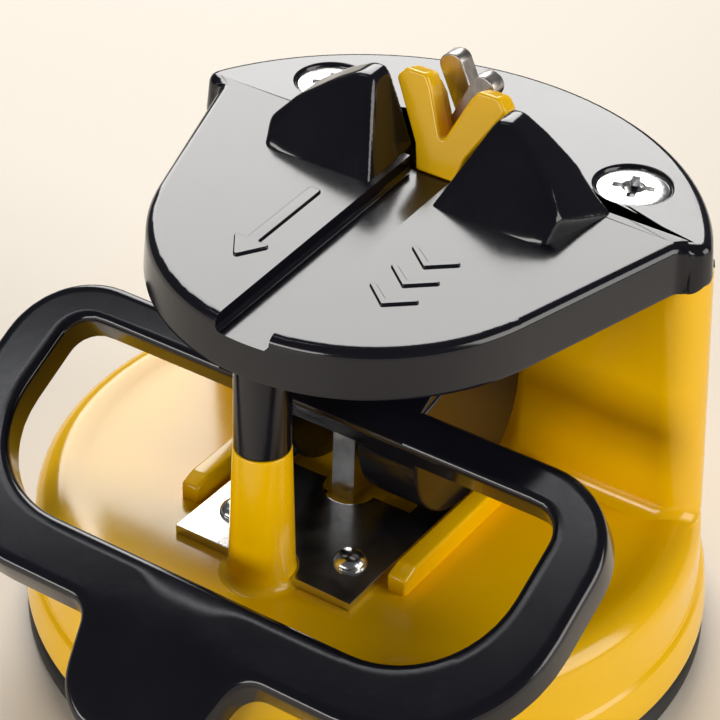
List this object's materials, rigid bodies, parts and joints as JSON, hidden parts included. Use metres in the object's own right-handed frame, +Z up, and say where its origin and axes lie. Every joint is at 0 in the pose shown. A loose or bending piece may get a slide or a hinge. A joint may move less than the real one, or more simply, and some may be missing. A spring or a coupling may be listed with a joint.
{
  "type": "suction-base knife sharpener",
  "caption": "Pull-through knife sharpener on a rubber suction cup, drawn down by an over-centre loop lever on a cam, with a raised cap that carries crossed blades.",
  "frame": {"origin": "centre of the suction cup's rim, on the surface it stands on", "axes": "+Z up, -Y to the front, where the loop lever's thumb tab lies and the blade channel ends, +X to the right seen from the front"},
  "size_m": [0.06, 0.0674, 0.0469],
  "materials": {
    "yellow_plastic": "bright yellow, glossy moulded",
    "black_plastic": "black, glossy moulded",
    "bright_steel": "bright zinc plating",
    "blade_carbide": "ground sintered carbide",
    "rubber": "black, slightly dull"
  },
  "bodies": {
    "base": {"base_body": "yellow_plastic", "top_cap": "black_plastic", "v_guide": "yellow_plastic", "blade_left": "blade_carbide", "blade_right": "blade_carbide", "cap_screw_left": "bright_steel", "cap_screw_right": "bright_steel", "wear_plate": "bright_steel", "rivet_left": "bright_steel", "rivet_right": "bright_steel", "suction_cup": "rubber", "stem": "bright_steel", "cup_insert": "bright_steel", "hinge_pin": "bright_steel", "spacer_left": "bright_steel", "spacer_right": "bright_steel"},
    "lever": {"lever": "black_plastic"}
  },
  "joints": [
    {"name": "lever_hinge", "type": "hinge", "parent": "base", "child": "lever", "pos_m": [0, -0.0002, 0.0253], "axis": [-1, 0, 0], "range_deg": [0, 80]}
  ]
}
